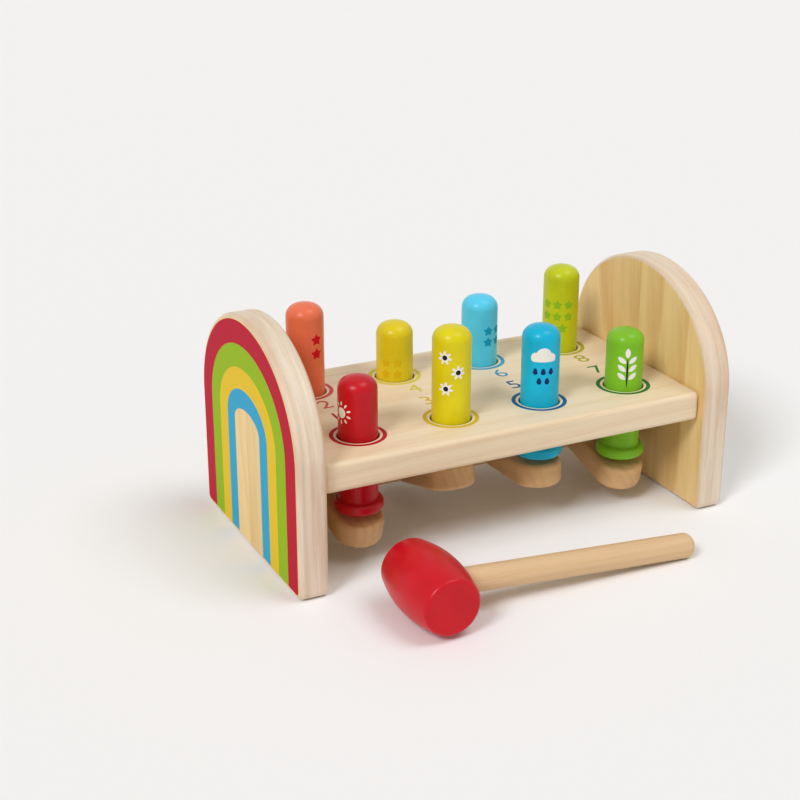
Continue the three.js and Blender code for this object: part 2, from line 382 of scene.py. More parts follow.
def dress(piece, body, material, replaced=None):
    """Smooth shading with crisp corners, a material, and the body that carries the piece."""
    piece.data.shade_smooth()
    piece.data.set_sharp_from_angle(angle=SMOOTH_ANGLE)
    even = piece.modifiers.new("even_normals", "WEIGHTED_NORMAL")
    even.keep_sharp = True
    piece.data.materials.clear()
    piece.data.materials.append(material)
    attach(piece, body)
    if replaced:
        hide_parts(replaced)
    return piece


# Material helpers

def linear(red, green, blue):
    """Linear colour from display values of 0 to 255, by the sRGB curve."""
    channels = []
    for value in (red, green, blue):
        share = value / 255
        channels.append(share / 12.92 if share <= 0.04045 else ((share + 0.055) / 1.055) ** 2.4)
    return (*channels, 1.0)


def set_inputs(tree, node, inputs):
    """Sets a shader node's inputs to values, or links them to other nodes' sockets."""
    for key, value in inputs.items():
        if isinstance(value, bpy.types.NodeSocket):
            tree.links.new(value, node.inputs[key])
        else:
            node.inputs[key].default_value = value


def add_node(tree, kind, inputs=None, **settings):
    """New shader node with its settings and inputs."""
    made = tree.nodes.new(kind)
    for name, value in settings.items():
        setattr(made, name, value)
    set_inputs(tree, made, inputs or {})
    return made


def math_node(tree, operation, first, second=0.0):
    return add_node(tree, "ShaderNodeMath", {0: first, 1: second}, operation=operation).outputs[0]


def vector_node(tree, operation, first, second=(0, 0, 0)):
    return add_node(tree, "ShaderNodeVectorMath", {0: first, 1: second}, operation=operation)


def scaled(tree, vector, factors):
    return vector_node(tree, "MULTIPLY", vector, factors).outputs[0]


def centred(tree, colour):
    """Vector about zero from a random colour."""
    return vector_node(tree, "SUBTRACT", colour, (0.5, 0.5, 0.5)).outputs[0]


def remap(tree, value, low, high, start=0.0, end=1.0):
    """Maps start to end onto low to high, and stops there."""
    inputs = {"Value": value, "From Min": start, "From Max": end, "To Min": low, "To Max": high}
    return add_node(tree, "ShaderNodeMapRange", inputs).outputs["Result"]


def mix_colour(tree, factor, first, second, blend="MIX"):
    """Mix of two colours. The node's sockets share their names, so they are picked by number."""
    inputs = {0: factor, 6: first, 7: second}
    return add_node(tree, "ShaderNodeMix", inputs, data_type="RGBA", blend_type=blend).outputs[2]


def noise(tree, coords, scale, detail, roughness=0.5):
    inputs = {"Vector": coords, "Scale": scale, "Detail": detail, "Roughness": roughness}
    return add_node(tree, "ShaderNodeTexNoise", inputs)


def grain_noise(tree, coords, scale, along, detail, roughness=0.5):
    """Noise drawn out along Z: along is its scale there, as a share of the scale across."""
    return noise(tree, scaled(tree, coords, (1.0, 1.0, along)), scale, detail, roughness)


def chance(tree, number):
    """Steady random value for a whole number."""
    return add_node(tree, "ShaderNodeTexWhiteNoise", {"W": number}, noise_dimensions="1D")


def ramp(tree, factor, stops, interpolation="LINEAR"):
    """Grey ramp from (position, brightness) stops."""
    made = add_node(tree, "ShaderNodeValToRGB", {"Fac": factor})
    made.color_ramp.interpolation = interpolation
    elements = made.color_ramp.elements
    while len(elements) < len(stops):
        elements.new(0.5)
    for element, (position, grey) in zip(elements, stops):
        element.position = position
        element.color = (grey, grey, grey, 1)
    return made.outputs["Color"]


def bump(tree, height, strength, distance):
    inputs = {"Height": height, "Strength": strength, "Distance": distance}
    return add_node(tree, "ShaderNodeBump", inputs).outputs["Normal"]


def new_material(name):
    material = bpy.data.materials.new(name)
    material.use_nodes = True
    tree = material.node_tree
    shader = tree.nodes["Principled BSDF"]
    return material, tree, shader


def object_coords(tree, output="Object"):
    return add_node(tree, "ShaderNodeTexCoord").outputs[output]


def axis_value(tree, vector, axis):
    return add_node(tree, "ShaderNodeSeparateXYZ", {0: vector}).outputs[axis]


# Wood

GRAIN_TURN = {
    "X": (0.0, -math.pi / 2, 0.0),
    "Y": (math.pi / 2, 0.0, 0.0),
    "Z": (0.0, 0.0, 0.0),
}

# Noises of the grain: scale across it, share of that scale along it, detail and, if not 0.5, roughness
SWIRL_NOISE = (22.0, 0.10, 3.0)
DRIFT_NOISE = (12.0, 0.10, 2.0)
STREAK_NOISE = (130.0, 0.03, 3.0, 0.55)
FIBRE_NOISE = (950.0, 0.018, 3.0, 0.6)
PORE_NOISE = (1700.0, 0.05, 1.0)

# Growth rings: how far they wander, how dark a year is from its start to its end, the share of that in the
# weakest year, and how far the contrast drifts along the board
RING_WANDER = 14.0 * MM
RING_PROFILE = ((0.0, 0.10), (0.45, 0.05), (0.82, 0.75), (0.93, 0.8), (1.0, 0.10))
RING_WEAKEST = 0.25
RING_CONTRAST = (0.5, 1.4)

# Streaks, fibres, pores and slow drift of the tone, and how they show in gloss and relief; a bump is its
# strength and its depth
STREAK_LEAST = -0.10
STREAK_SPAN = (0.35, 0.75)
FIBRE_TONES = ((0.3, 0.93), (0.5, 0.985), (0.72, 1.0))
PORE_TONES = ((0.66, 1.0), (0.76, 0.90))
DRIFT_TONES = ((0.3, 0.94), (0.7, 1.0))
RING_RELIEF = 0.3
PORE_RELIEF = 0.4
WOOD_BUMP = (0.10, 0.12 * MM)
WOOD_ROUGHNESS = (0.56, 0.40)
WOOD_SPECULAR = 0.35

# Glued staves, and the growth lines along a panel's edge over a paler tone that is painted light, drawn as
# though the edges caught more light than the faces
STAVE_SHIFT = (90.0 * MM, 30.0 * MM, 700.0 * MM)
GLUE_SHADE = 0.55
EDGE_STRETCH = (1.0, 0.05, 0.05)
EDGE_NOISE = (210.0, 3.0, 0.6)
EDGE_LINE_SPAN = (0.38, 0.72)
# How far the edge colour, painted light with growth lines, covers the face's, and the facings over which it
# fades in
EDGE_PAINTED_LIGHT_COVER = 0.85
EDGE_PAINTED_LIGHT_FACING = (0.93, 0.999)


def stave_shift(tree, coords, axis, joint, width):
    """Where each glued stave was cut in its log, and how dark the glue line beside it is."""
    place = math_node(tree, "SUBTRACT", axis_value(tree, coords, axis), joint)
    across = math_node(tree, "DIVIDE", place, width)
    shuffle = chance(tree, math_node(tree, "FLOOR", across)).outputs["Color"]
    shift = scaled(tree, centred(tree, shuffle), STAVE_SHIFT)
    middle = math_node(tree, "ABSOLUTE", math_node(tree, "SUBTRACT", math_node(tree, "FRACT", across), 0.5))
    line = remap(tree, middle, 0.0, 1.0, 0.5 - GLUE_HALF_WIDTH / width, 0.5)
    return shift, line


def edge_wood(tree, coords, face_colour, pale, line):
    """Growth lines along a panel's edge over a paler tone that is painted light, on the faces that don't look
    along X.
    """
    layers = noise(tree, scaled(tree, coords, EDGE_STRETCH), *EDGE_NOISE).outputs["Fac"]
    wood = mix_colour(tree, remap(tree, layers, 0.0, 1.0, *EDGE_LINE_SPAN), linear(*pale), linear(*line))
    # Painted light: faces turned away from X get the paler edge colour by their direction alone
    facing = math_node(tree, "ABSOLUTE", axis_value(tree, object_coords(tree, "Normal"), "X"))
    return mix_colour(tree, remap(tree, facing, EDGE_PAINTED_LIGHT_COVER, 0.0, *EDGE_PAINTED_LIGHT_FACING), face_colour, wood)


def growth_rings(tree, log, ring):
    """How dark the late wood is, in wandering rings about the log's Z axis, each of its own vigour."""
    swirl = centred(tree, grain_noise(tree, log, *SWIRL_NOISE).outputs["Color"])
    wander = scaled(tree, swirl, (RING_WANDER, RING_WANDER, 0.0))
    warped = vector_node(tree, "ADD", log, wander).outputs[0]
    distance = vector_node(tree, "LENGTH", scaled(tree, warped, (1.0, 1.0, 0.0))).outputs["Value"]
    years = math_node(tree, "DIVIDE", distance, ring)
    late = ramp(tree, math_node(tree, "FRACT", years), RING_PROFILE, "B_SPLINE")
    vigour = chance(tree, math_node(tree, "FLOOR", years)).outputs["Value"]
    return math_node(tree, "MULTIPLY", late, remap(tree, vigour, RING_WEAKEST, 1.0))


def timber(name, grain, pith, pale, dark, ring, contrast, streaks=0.2, lean=(1.6, 1.1),
           stave=None, edge=None):
    """Lacquered wood: soft growth rings about a leaning pith line, streaks, fibres and short pores.

    grain is the axis that the fibres follow, pith the line's place across it, and lean its slope in degrees.
    stave is (axis, joint, width) of glued staves, and edge the (pale, line) colours of a panel's edge, where
    pale is painted light.
    """
    material, tree, shader = new_material(name)
    coords = object_coords(tree)
    inputs = {"Vector": coords, "Rotation": GRAIN_TURN[grain]}
    along = add_node(tree, "ShaderNodeMapping", inputs).outputs[0]
    if stave:
        shift, line = stave_shift(tree, coords, *stave)
        along = vector_node(tree, "ADD", along, shift).outputs[0]
    lean_turn = (math.radians(lean[0]), math.radians(lean[1]), 0.0)
    inputs = {"Vector": along, "Location": (*pith, 0.0), "Rotation": lean_turn}
    log = add_node(tree, "ShaderNodeMapping", inputs).outputs[0]

    late = growth_rings(tree, log, ring)
    streak = grain_noise(tree, log, *STREAK_NOISE).outputs["Fac"]
    fibre = grain_noise(tree, log, *FIBRE_NOISE).outputs["Fac"]
    pore = grain_noise(tree, log, *PORE_NOISE).outputs["Fac"]
    drift = grain_noise(tree, log, *DRIFT_NOISE).outputs["Fac"]

    weak, strong = (contrast * share for share in RING_CONTRAST)
    strength = math_node(tree, "MULTIPLY", late, remap(tree, drift, weak, strong))
    strength = math_node(tree, "ADD", strength, remap(tree, streak, STREAK_LEAST, streaks, *STREAK_SPAN))
    colour = mix_colour(tree, strength, linear(*pale), linear(*dark))
    if stave:
        colour = mix_colour(tree, math_node(tree, "MULTIPLY", line, GLUE_SHADE), colour, linear(*dark))
    # Painted light on the panel's edges: a paler tone, with the edge's growth lines
    if edge:
        colour = edge_wood(tree, coords, colour, *edge)
    for value, tones in ((fibre, FIBRE_TONES), (pore, PORE_TONES), (drift, DRIFT_TONES)):
        colour = mix_colour(tree, 1.0, colour, ramp(tree, value, tones), "MULTIPLY")

    relief = math_node(tree, "ADD", math_node(tree, "MULTIPLY", late, RING_RELIEF), fibre)
    relief = math_node(tree, "SUBTRACT", relief, math_node(tree, "MULTIPLY", pore, PORE_RELIEF))
    set_inputs(tree, shader, {
        "Base Color": colour,
        "Roughness": remap(tree, fibre, *WOOD_ROUGHNESS),
        "Normal": bump(tree, relief, *WOOD_BUMP),
        "Specular IOR Level": WOOD_SPECULAR,
    })
    return material


# Kinds of wood, and where each piece's pith line lies
PLANK_PINE = {
    "pale": (240, 220, 188),
    "dark": (216, 175, 123),
    "ring": 9.0 * MM,
    "contrast": 0.3,
    "lean": (0.6, 1.4),
}
PANEL_PINE = {
    "pale": (246, 214, 150),
    "dark": (210, 156, 82),
    "ring": 17.0 * MM,
    "contrast": 0.8,
    "streaks": 0.22,
    "lean": (5.0, 4.0),
    "stave": ("Y", BENCH_Y, STAVE_WIDTH),
    # The edge's pale colour is painted light; its line colour is the edge's growth lines
    "edge": ((236, 223, 207), (210, 179, 150)),
}
# Beech of the rockers, darker than the handle's: partly its own warmer tone, partly painted shade for where
# the rockers sit under the plank. The dowels and spacers share these tones.
BAR_BEECH_WITH_PAINTED_SHADE = {"pale": (218, 176, 124), "dark": (182, 130, 78), "ring": 5.5 * MM, "contrast": 0.4}
DOWEL_BEECH = {**BAR_BEECH_WITH_PAINTED_SHADE, "ring": 4.0 * MM}
HANDLE_BEECH = {"pale": (226, 190, 146), "dark": (198, 150, 102), "ring": 5.0 * MM, "contrast": 0.45}
LEFT_PITH = (55.0 * MM, 12.0 * MM)
RIGHT_PITH = (-205.0 * MM, -30.0 * MM)
PLANK_PITH = (135.0 * MM, -20.0 * MM)
ROCKER_PITH = (30.0 * MM, 22.0 * MM)
ROCKER_PITH_STEP = (11.0 * MM, -17.0 * MM)
DOWEL_PITH = (20.0 * MM, 11.0 * MM)
HANDLE_PITH = (31.0 * MM, 17.0 * MM)


# Paint

# Noises are a scale and a detail, with the share of the scale along Z between them for the grain
PAINT_DEPTH = 0.10
PAINT_CLOUDS = (60.0, 3.0)
PAINT_CLOUD_SPAN = (0.3, 0.7)
PAINT_PEEL = (1500.0, 2.0)
PAINT_GRAIN = (700.0, 0.03, 3.0)
PEEL_RELIEF = 0.4
PAINT_BUMP = (0.06, 0.1 * MM)
PAINT_ROUGHNESS = (0.24, 0.36)
PAINT_SPECULAR = 0.25


def satin_paint(name, shown):
    """Sprayed satin paint over turned wood: slight cloudiness, orange peel and the grain showing through."""
    material, tree, shader = new_material(name)
    coords = object_coords(tree)
    colour = linear(*shown)[:3]
    deep = (*(channel * (1 - PAINT_DEPTH) for channel in colour), 1.0)
    bright = (*(min(1.0, channel * (1 + PAINT_DEPTH / 2)) for channel in colour), 1.0)
    cloudy = noise(tree, coords, *PAINT_CLOUDS).outputs["Fac"]
    peel = noise(tree, coords, *PAINT_PEEL).outputs["Fac"]
    grain = grain_noise(tree, coords, *PAINT_GRAIN).outputs["Fac"]
    relief = math_node(tree, "ADD", math_node(tree, "MULTIPLY", peel, PEEL_RELIEF), grain)
    set_inputs(tree, shader, {
        "Base Color": mix_colour(tree, remap(tree, cloudy, 0.0, 1.0, *PAINT_CLOUD_SPAN), deep, bright),
        "Roughness": remap(tree, peel, *PAINT_ROUGHNESS),
        "Normal": bump(tree, relief, *PAINT_BUMP),
        "Specular IOR Level": PAINT_SPECULAR,
    })
    return material


# Ink

INK_SPECKS = (2200.0, 3.0)
INK_BLOTCHES = (240.0, 2.0)
INK_COVER = ((0.52, 0.0), (0.75, 1.0))
INK_THIN = 0.06
INK_THIN_GREY = 0.75
INK_BUMP = (0.05, 0.05 * MM)
INK_ROUGHNESS = (0.42, 0.60)
INK_SPECULAR = 0.06


def printed_ink(name, shown):
    """Thin pad-printed ink, a little uneven, with the wood's fibres showing as faint specks."""
    material, tree, shader = new_material(name)
    coords = object_coords(tree)
    colour = linear(*shown)
    thin = (*(channel + (INK_THIN_GREY - channel) * INK_THIN for channel in colour[:3]), 1.0)
    speck = noise(tree, coords, *INK_SPECKS).outputs["Fac"]
    blotch = noise(tree, coords, *INK_BLOTCHES).outputs["Fac"]
    cover = math_node(tree, "MULTIPLY", ramp(tree, speck, INK_COVER), blotch)
    set_inputs(tree, shader, {
        "Base Color": mix_colour(tree, cover, colour, thin),
        "Roughness": remap(tree, speck, *INK_ROUGHNESS),
        "Normal": bump(tree, speck, *INK_BUMP),
        "Specular IOR Level": INK_SPECULAR,
    })
    return material


# Steel

STEEL_DARK = (150, 152, 155)
STEEL_PALE = (196, 198, 200)
STEEL_STRETCH = (0.02, 1.0, 1.0)
STEEL_LINES = (2500.0, 3.0)
STEEL_BUMP = (0.04, 0.02 * MM)
STEEL_ROUGHNESS = (0.24, 0.42)


def drawn_steel(name):
    """Drawn rod: fine lines along its length, and a slight bloom."""
    material, tree, shader = new_material(name)
    streak = noise(tree, scaled(tree, object_coords(tree), STEEL_STRETCH), *STEEL_LINES).outputs["Fac"]
    set_inputs(tree, shader, {
        "Base Color": mix_colour(tree, streak, linear(*STEEL_DARK), linear(*STEEL_PALE)),
        "Roughness": remap(tree, streak, *STEEL_ROUGHNESS),
        "Normal": bump(tree, streak, *STEEL_BUMP),
        "Metallic": 1.0,
    })
    return material


# Boards of the bench

def panel_outline():
    """End panel seen along X: straight legs with rounded feet and a half-ellipse crown."""
    foot = PANEL_HALF - PANEL_CORNER
    radii = (PANEL_CORNER, PANEL_CORNER)
    outline = arc((foot, PANEL_CORNER), radii, -90, 0, CORNER_STEPS)
    outline += arc((0, PLANK_TOP), (PANEL_HALF, ARCH_RISE), 0, 180, CROWN_STEPS)
    outline += arc((-foot, PANEL_CORNER), radii, 180, 270, CORNER_STEPS)
    return outline


def upright(x, outward=1):
    """Turns a flat outline to the bench's Y and Z, with its height along X from x."""
    return Matrix(((0, 0, outward, x), (1, 0, 0, BENCH_Y), (0, 1, 0, 0), (0, 0, 0, 1)))


def pin_bore(radius, length):
    return revolve([(0, 0), (radius, 0), (radius, length), (0, length)], segments=PIN_SEGMENTS)


def middle_of(node):
    low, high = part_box(node)
    return (low + high) / 2


def end_panel(name, node, inward, material):
    """inward is 1 where the bench lies on the panel's +X side, and -1 on the other.

    The seats for the axle and the dowels are as deep at both ends as these pins reach into the left panel.
    """
    low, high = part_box(node)
    board = soft_board(panel_outline(), high.x - low.x, BOARD_EDGE)
    board = plain_object(name, moved(board, upright(low.x)))
    inner_x = high.x if inward > 0 else low.x
    cutters = []
    pins = {"rocker_axle": AXLE_RADIUS, "plank_dowel_1": DOWEL_RADIUS, "plank_dowel_2": DOWEL_RADIUS}
    for pin, radius in pins.items():
        depth = PANEL_HIGH.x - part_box(pin)[0].x + SEAT_GAP
        start = inner_x - depth if inward > 0 else inner_x - CUT_OVERSHOOT
        bore = pin_bore(radius + SEAT_GAP, depth + CUT_OVERSHOOT)
        cutters.append(moved(bore, along_x(start, middle_of(pin).y, middle_of(pin).z)))
    carve(board, cutters)
    return dress(board, "bench", material, node)


def hole_cutter(x, y):
    """Peg hole through the plank, with its rims rounded over."""
    rim = HOLE_RADIUS + HOLE_EDGE
    low, high = PLANK_LOW.z, PLANK_HIGH.z
    profile = [(0, low - CUT_OVERSHOOT), (rim, low - CUT_OVERSHOOT)]
    profile += arc_points((rim, low + HOLE_EDGE), HOLE_EDGE, -90, -180, RIM_STEPS)
    profile += arc_points((rim, high - HOLE_EDGE), HOLE_EDGE, 180, 90, RIM_STEPS)
    profile += [(rim, high + CUT_OVERSHOOT), (0, high + CUT_OVERSHOOT)]
    return moved(revolve(profile), Matrix.Translation((x, y, 0)))


def peg_place(number):
    """Middle of a peg, the height of its foot and the height of its top."""
    low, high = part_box(f"peg_{number}")
    return (low.x + high.x) / 2, (low.y + high.y) / 2, low.z, high.z


def plank_board(material):
    half = (PLANK_HIGH - PLANK_LOW) / 2
    outline = rounded_rectangle(half.x, half.y, PLANK_CORNER)
    place = Matrix.Translation(((PLANK_HIGH.x + PLANK_LOW.x) / 2, BENCH_Y, PLANK_LOW.z))
    board = plain_object("plank_board", moved(soft_board(outline, 2 * half.z, BOARD_EDGE), place))
    cutters = [hole_cutter(*peg_place(number)[:2]) for number in PEG_PAINTS]
    for dowel in range(1, DOWELS + 1):
        low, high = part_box(f"plank_dowel_{dowel}")
        middle = (low + high) / 2
        bore = pin_bore(DOWEL_RADIUS + SEAT_GAP, high.x - low.x)
        cutters.append(moved(bore, along_x(low.x, middle.y, middle.z)))
    carve(board, cutters)
    return dress(board, "bench", material, "bench_top")


left_wood = timber("left_panel_pine", "Z", LEFT_PITH, **PANEL_PINE)
right_wood = timber("right_panel_pine", "Z", RIGHT_PITH, **PANEL_PINE)
end_panel("left_panel_board", "left_end_panel", 1, left_wood)
end_panel("right_panel_board", "right_end_panel", -1, right_wood)
plank_board(timber("plank_pine", "X", PLANK_PITH, **PLANK_PINE))


# Rockers on their axle

def rocker_bar(number):
    """Flat bar with round ends on its axle, level in its own coordinates and tilted by its object."""
    radii = (ROCKER_HALF_WIDTH, ROCKER_HALF_WIDTH)
    outline = arc((0, ROCKER_ARM), radii, 0, 180, ROCKER_END_STEPS)
    outline += arc((0, -ROCKER_ARM), radii, 180, 360, ROCKER_END_STEPS)
    board = soft_board(outline, ROCKER_THICKNESS, ROCKER_EDGE)
    board = moved(board, Matrix.Translation((0, 0, -ROCKER_THICKNESS / 2)))
    bar = plain_object(f"rocker_bar_{number}", board)
    reach = ROCKER_HALF_WIDTH + CUT_OVERSHOOT
    carve(bar, [moved(pin_bore(AXLE_RADIUS + SEAT_GAP, 2 * reach), along_x(-reach))])
    joint = next(j for j in frame["joints"] if j["name"] == f"rocker_{number}_tilt")
    rest_tilt = -math.radians(sum(joint["range_deg"]) / 2)
    bar.matrix_world = Matrix.Translation(joint["pos_m"]) @ Matrix.Rotation(rest_tilt, 4, "X")
    pith = [first + number * step for first, step in zip(ROCKER_PITH, ROCKER_PITH_STEP)]
    # The rocker's beech carries painted shade, darker than the handle out in the open
    wood = timber(f"rocker_wood_painted_shade_{number}", "Y", pith, **BAR_BEECH_WITH_PAINTED_SHADE)
    return dress(bar, f"rocker_{number}", wood, f"rocker_{number}")


def turned_pin(name, node, radius, chamfer, material):
    """Chamfered pin along X in the place of its node."""
    low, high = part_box(node)
    length = high.x - low.x
    profile = [(0, 0), (radius - chamfer, 0), (radius, chamfer)]
    profile += [(radius, length - chamfer), (radius - chamfer, length), (0, length)]
    place = along_x(low.x, middle_of(node).y, middle_of(node).z)
    pin = plain_object(name, moved(revolve(profile, segments=PIN_SEGMENTS), place))
    return dress(pin, "bench", material, node)


def spacer_tube(number, material):
    """Short tube on the axle beside a rocker."""
    node = f"axle_spacer_{number}"
    low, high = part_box(node)
    length, inner = high.x - low.x, AXLE_RADIUS + SEAT_GAP
    rim = SPACER_RADIUS - SPACER_EDGE
    profile = [(inner, 0), (rim, 0), (SPACER_RADIUS, SPACER_EDGE)]
    profile += [(SPACER_RADIUS, length - SPACER_EDGE), (rim, length), (inner, length)]
    tube = moved(revolve(profile, closed=True, segments=PIN_SEGMENTS), along_x(low.x, BENCH_Y, PIVOT_Z))
    return dress(plain_object(f"spacer_tube_{number}", tube), "bench", material, node)


for pair in range(1, PEG_PAIRS + 1):
    rocker_bar(pair)
turned_pin("steel_axle", "rocker_axle", AXLE_RADIUS, AXLE_CHAMFER, drawn_steel("drawn_steel"))
dowel_wood = timber("dowel_beech", "X", DOWEL_PITH, **DOWEL_BEECH)
for spacer in range(1, PEG_PAIRS + 2):
    spacer_tube(spacer, dowel_wood)
for dowel in range(1, DOWELS + 1):
    node = f"plank_dowel_{dowel}"
    turned_pin(f"glued_dowel_{dowel}", node, DOWEL_RADIUS, DOWEL_CHAMFER, dowel_wood)


# Pegs

def crowned_top(height):
    """Profile of a shank's top from its side to its axis: a round-over that runs into a wide crown."""
    shoulder = PEG_RADIUS - PEG_ROUND
    drop_to_round = math.sqrt((PEG_CROWN - PEG_ROUND) ** 2 - shoulder ** 2)
    meeting = math.degrees(math.atan2(drop_to_round, shoulder))
    centre = height - PEG_CROWN
    profile = arc_points((shoulder, centre + drop_to_round), PEG_ROUND, 0, meeting, PEG_ROUND_STEPS)
    crown = arc_points((0, centre), PEG_CROWN, meeting, 90, PEG_CROWN_STEPS)
    return profile + crown[1:-1] + [(0, height)]


def turned_peg(number):
    """Peg with a flanged foot, a straight shank and a crowned top."""
    x, y, foot, top = peg_place(number)
    flat = FOOT_RADIUS - FOOT_EDGE
    profile = [(0, 0)]
    profile += arc_points((flat, FOOT_EDGE), FOOT_EDGE, -90, 0, EDGE_STEPS)
    profile += arc_points((flat, FOOT_HEIGHT - FOOT_EDGE), FOOT_EDGE, 0, 90, EDGE_STEPS)
    fillet_centre = (PEG_RADIUS + FOOT_FILLET, FOOT_HEIGHT + FOOT_FILLET)
    profile += arc_points(fillet_centre, FOOT_FILLET, 270, 180, RIM_STEPS)
    profile += crowned_top(top - foot - PEG_TOP_GAP)
    slot, colour = PEG_PAINTS[number]
    peg = plain_object(f"turned_peg_{number}", moved(revolve(profile), Matrix.Translation((x, y, foot))))
    return dress(peg, f"peg_{number}", satin_paint(f"{slot}_finish", colour), f"peg_{number}")


for number in PEG_PAINTS:
    turned_peg(number)


# Hammer

def hammer_frame():
    """Head lying on its belly, and the handle sloping down to where its free end touches the floor."""
    head = middle_of("hammer_head")
    end = Vector((HANDLE_REACH - HANDLE_ROUND, HANDLE_RADIUS - HANDLE_ROUND))
    slope = math.asin((HEAD_BELLY - HANDLE_ROUND) / end.length) - math.atan2(end.y, end.x)
    return Matrix.Translation((head.x, head.y, HEAD_BELLY)) @ Matrix.Rotation(slope, 4, "Y")


def hammer_barrel():
    """Barrel about Y, with softened rims and a bore for the handle."""
    half, rim = HEAD_LENGTH / 2, HEAD_END - HEAD_EDGE
    profile = [(0, -half)]
    profile += arc_points((rim, HEAD_EDGE - half), HEAD_EDGE, -90, -HEAD_EDGE_START, EDGE_STEPS)
    for step in range(1, BARREL_STEPS):
        along = 2 * step / BARREL_STEPS - 1
        bulge = (HEAD_BELLY - HEAD_END) * (1 - along * along)
        profile.append((HEAD_END + bulge, along * (half - HEAD_EDGE)))
    profile += arc_points((rim, half - HEAD_EDGE), HEAD_EDGE, HEAD_EDGE_START, 90, EDGE_STEPS)
    profile.append((0, half))
    lying = hammer_frame() @ Matrix.Rotation(-math.pi / 2, 4, "X")
    barrel = plain_object("hammer_barrel", moved(revolve(profile), lying))
    start = HEAD_BELLY - HANDLE_SEAT - SEAT_GAP
    bore = pin_bore(HANDLE_RADIUS + SEAT_GAP, HANDLE_SEAT + SEAT_GAP + CUT_OVERSHOOT)
    carve(barrel, [moved(bore, hammer_frame() @ along_x(start))])
    paint = satin_paint("hammer_paint_finish", HAMMER_RED)
    return dress(barrel, "hammer", paint, "hammer_head")


def hammer_grip():
    """Plain dowel along X, rounded at its free end."""
    start = HEAD_BELLY - HANDLE_SEAT
    profile = [(0, start), (HANDLE_RADIUS - HANDLE_CHAMFER, start), (HANDLE_RADIUS, start + HANDLE_CHAMFER)]
    end_centre = (HANDLE_RADIUS - HANDLE_ROUND, HANDLE_REACH - HANDLE_ROUND)
    profile += arc_points(end_centre, HANDLE_ROUND, 0, 90, HANDLE_ROUND_STEPS) + [(0, HANDLE_REACH)]
    grip = plain_object("hammer_grip", moved(revolve(profile), along_x()))
    grip.matrix_world = hammer_frame()
    wood = timber("handle_beech", "X", HANDLE_PITH, **HANDLE_BEECH)
    return dress(grip, "hammer", wood, "hammer_handle")


hammer_barrel()
hammer_grip()


# Flat printing on the boards

def flat_film(bm, outline, proud):
    """Closed film over a flat outline, from just under the surface to just above it."""
    lower = [bm.verts.new((u, v, -INK_SUNK)) for u, v in outline]
    upper = [bm.verts.new((u, v, proud)) for u, v in outline]
    bm.faces.new(reversed(lower))
    bm.faces.new(upper)
    join_rings(bm, lower, upper)


def board_print(name, outlines, place, ink, proud=INK_PROUD):
    bm = bmesh.new()
    for outline in outlines:
        flat_film(bm, outline, proud)
    return dress(plain_object(name, moved(bm, place)), "bench", ink)


def ring_print(number, ink):
    """Coloured line round a peg hole."""
    x, y = peg_place(number)[:2]
    profile = [(RING_INNER, -INK_SUNK), (RING_OUTER, -INK_SUNK)]
    profile += [(RING_OUTER, INK_PROUD), (RING_INNER, INK_PROUD)]
    ring = moved(revolve(profile, closed=True), Matrix.Translation((x, y, PLANK_TOP)))
    return dress(plain_object(f"hole_ring_{number}", ring), "bench", ink)


def digit_print(number, ink):
    """Plain number between the two rows of holes, read from the player's side."""
    x, y = peg_place(number)[:2]
    offset = FRONT_DIGIT_OFFSET if number % 2 else REAR_DIGIT_OFFSET
    curve = bpy.data.curves.new(f"digit_{number}", "FONT")
    curve.body = str(number)
    curve.size = DIGIT_SIZE
    curve.align_x = "CENTER"
    curve.align_y = "CENTER"
    curve.extrude = INK_PROUD
    text = new_object(f"digit_{number}", curve)
    mesh = final_mesh(text)
    mesh.transform(Matrix.Translation((x + offset.x, y + offset.y, PLANK_TOP)))
    bpy.data.objects.remove(text)
    return dress(new_object(f"number_{number}", mesh), "bench", ink)


def arch_line(inset):
    """Line inside the panel's outline, from its right foot over the crown to its left foot."""
    half, corner = PANEL_HALF - inset, max(0.0, PANEL_CORNER - inset)
    foot = [(half, PRINT_MARGIN)]
    if corner:
        foot = arc_points((half - corner, PRINT_MARGIN + corner), corner, -90, 0, CORNER_STEPS)
    crown = ellipse_points((0, PLANK_TOP), (half, ARCH_RISE - inset), 0, 180, CROWN_STEPS)
    return foot + crown + [(-u, v) for u, v in reversed(foot)]


def arch_prints():
    face = upright(PANEL_LOW.x, -1)
    outer = arch_line(PRINT_MARGIN)
    for name, (colour, inset) in ARCH_BANDS.items():
        inner = arch_line(inset)
        ink = printed_ink(f"arch_ink_{name}", colour)
        board_print(f"arch_print_{name}", [outer + inner[::-1]], face, ink)
        outer = inner


def inside_panel(u, v, radius):
    """True where a dot keeps its margin to the panel's outline."""
    inset = DOT_MARGIN + radius
    if v <= PLANK_TOP:
        return abs(u) <= PANEL_HALF - inset and v >= inset
    return math.hypot(u / (PANEL_HALF - inset), (v - PLANK_TOP) / (ARCH_RISE - inset)) <= 1


def dot_prints():
    face = upright(RIGHT_FACE)
    board_print("white_ground", [arch_line(PRINT_MARGIN)], face, printed_ink("ground_ink", GROUND_WHITE))
    names = list(DOT_INKS)
    dots = {name: [] for name in names}
    for row in range(DOT_ROWS):
        stagger = DOT_PITCH / 2 * (row % 2)
        v = DOT_MARGIN + max(DOT_RADII) + row * DOT_PITCH
        for column, offset in enumerate(spread(DOT_COLUMNS, DOT_PITCH)):
            u, radius = offset + stagger, DOT_RADII[(row + column) % 2]
            if inside_panel(u, v, radius):
                name = names[(column + 2 * row) % len(names)]
                dots[name].append(arc_points((u, v), radius, 0, 360, DOT_STEPS)[:-1])
    for name, colour in DOT_INKS.items():
        ink = printed_ink(f"dot_ink_{name}", colour)
        board_print(f"dot_print_{name}", dots[name], face, ink, INK_PROUD + SECOND_INK)


